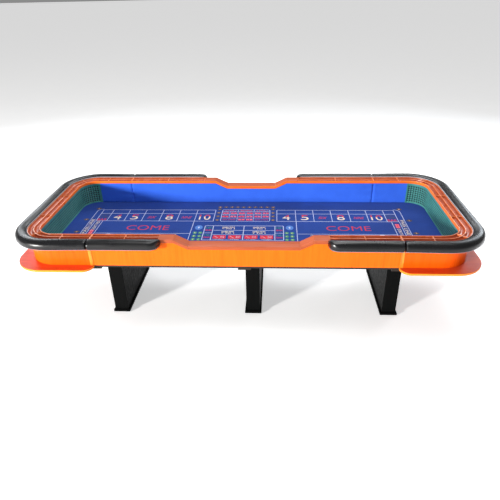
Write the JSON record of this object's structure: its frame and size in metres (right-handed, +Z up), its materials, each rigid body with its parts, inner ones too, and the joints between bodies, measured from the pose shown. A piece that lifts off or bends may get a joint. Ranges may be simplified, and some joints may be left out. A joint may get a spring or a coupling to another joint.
{
  "type": "craps table",
  "caption": "Long casino dice table with a walled felt pit, chip rails, padded armrests, dealers' cut-outs, end drink shelves and slab pedestals.",
  "frame": {"origin": "on the floor under the middle of the table's body", "axes": "+X along the table to the right, +Y from the front, with the wide cut-out, to the rear, +Z up"},
  "size_m": [3.6666, 1.4966, 0.911],
  "materials": {
    "pedestal": "satin black laminate",
    "frame_timber": "raw timber",
    "steel": "zinc plated",
    "deck_board": "dark sealed plywood",
    "shelf_laminate": "gloss laminate, orange edge band",
    "underlay_rubber": "matt",
    "layout_cloth": "printed game cloth",
    "edge_strip": "varnished",
    "wall_felt": "felt",
    "wall_rubber": "diamond pattern, matt",
    "rail_wood": "gloss varnish",
    "armrest_vinyl": "padded, semi-gloss",
    "end_veneer": "varnished veneer",
    "veneer": "varnished veneer"
  },
  "bodies": {
    "table": {"pedestal_plinth_left": "pedestal", "pedestal_plinth_centre": "pedestal", "pedestal_plinth_right": "pedestal", "pedestal_column_left": "pedestal", "pedestal_column_centre": "pedestal", "pedestal_column_right": "pedestal", "pedestal_head_left": "frame_timber", "pedestal_head_centre": "frame_timber", "pedestal_head_right": "frame_timber", "bearer_front": "frame_timber", "bearer_rear": "frame_timber", "cross_batten_left_end": "frame_timber", "cross_batten_left_seam": "frame_timber", "cross_batten_middle": "frame_timber", "cross_batten_right_seam": "frame_timber", "cross_batten_right_end": "frame_timber", "deck_left": "deck_board", "deck_centre": "deck_board", "deck_right": "deck_board", "drink_shelf_left": "shelf_laminate", "drink_shelf_right": "shelf_laminate", "layout_underlay": "underlay_rubber", "layout_cloth": "layout_cloth", "wall_frame_front": "frame_timber", "wall_frame_rear": "frame_timber", "wall_frame_left_end": "frame_timber", "wall_frame_right_end": "frame_timber", "apron_front": "veneer", "apron_rear": "veneer", "apron_left_end": "end_veneer", "apron_right_end": "end_veneer", "seam_post_front_left": "edge_strip", "seam_post_front_right": "edge_strip", "seam_post_rear_left": "edge_strip", "seam_post_rear_right": "edge_strip", "felt_wall_front": "wall_felt", "felt_wall_rear": "wall_felt", "rubber_wall_left": "wall_rubber", "rubber_wall_right": "wall_rubber", "chip_rail_front_left": "rail_wood", "chip_rail_front_right": "rail_wood", "chip_rail_rear_left": "rail_wood", "chip_rail_rear_right": "rail_wood", "chip_rail_left_end": "rail_wood", "chip_rail_right_end": "rail_wood", "drop_rail_front": "rail_wood", "drop_rail_rear": "rail_wood", "armrest_front_left": "armrest_vinyl", "armrest_front_right": "armrest_vinyl", "armrest_rear_left": "armrest_vinyl", "armrest_rear_right": "armrest_vinyl", "armrest_left_end": "armrest_vinyl", "armrest_right_end": "armrest_vinyl"},
    "foot_left_front": {"levelling_foot_left_front": "steel"},
    "foot_left_rear": {"levelling_foot_left_rear": "steel"},
    "foot_centre_front": {"levelling_foot_centre_front": "steel"},
    "foot_centre_rear": {"levelling_foot_centre_rear": "steel"},
    "foot_right_front": {"levelling_foot_right_front": "steel"},
    "foot_right_rear": {"levelling_foot_right_rear": "steel"}
  },
  "joints": [
    {"name": "screw_left_front", "type": "slide", "parent": "table", "child": "foot_left_front", "axis": [0, 0, -1], "range_m": [0, 0.015]},
    {"name": "screw_left_rear", "type": "slide", "parent": "table", "child": "foot_left_rear", "axis": [0, 0, -1], "range_m": [0, 0.015]},
    {"name": "screw_centre_front", "type": "slide", "parent": "table", "child": "foot_centre_front", "axis": [0, 0, -1], "range_m": [0, 0.015]},
    {"name": "screw_centre_rear", "type": "slide", "parent": "table", "child": "foot_centre_rear", "axis": [0, 0, -1], "range_m": [0, 0.015]},
    {"name": "screw_right_front", "type": "slide", "parent": "table", "child": "foot_right_front", "axis": [0, 0, -1], "range_m": [0, 0.015]},
    {"name": "screw_right_rear", "type": "slide", "parent": "table", "child": "foot_right_rear", "axis": [0, 0, -1], "range_m": [0, 0.015]}
  ]
}
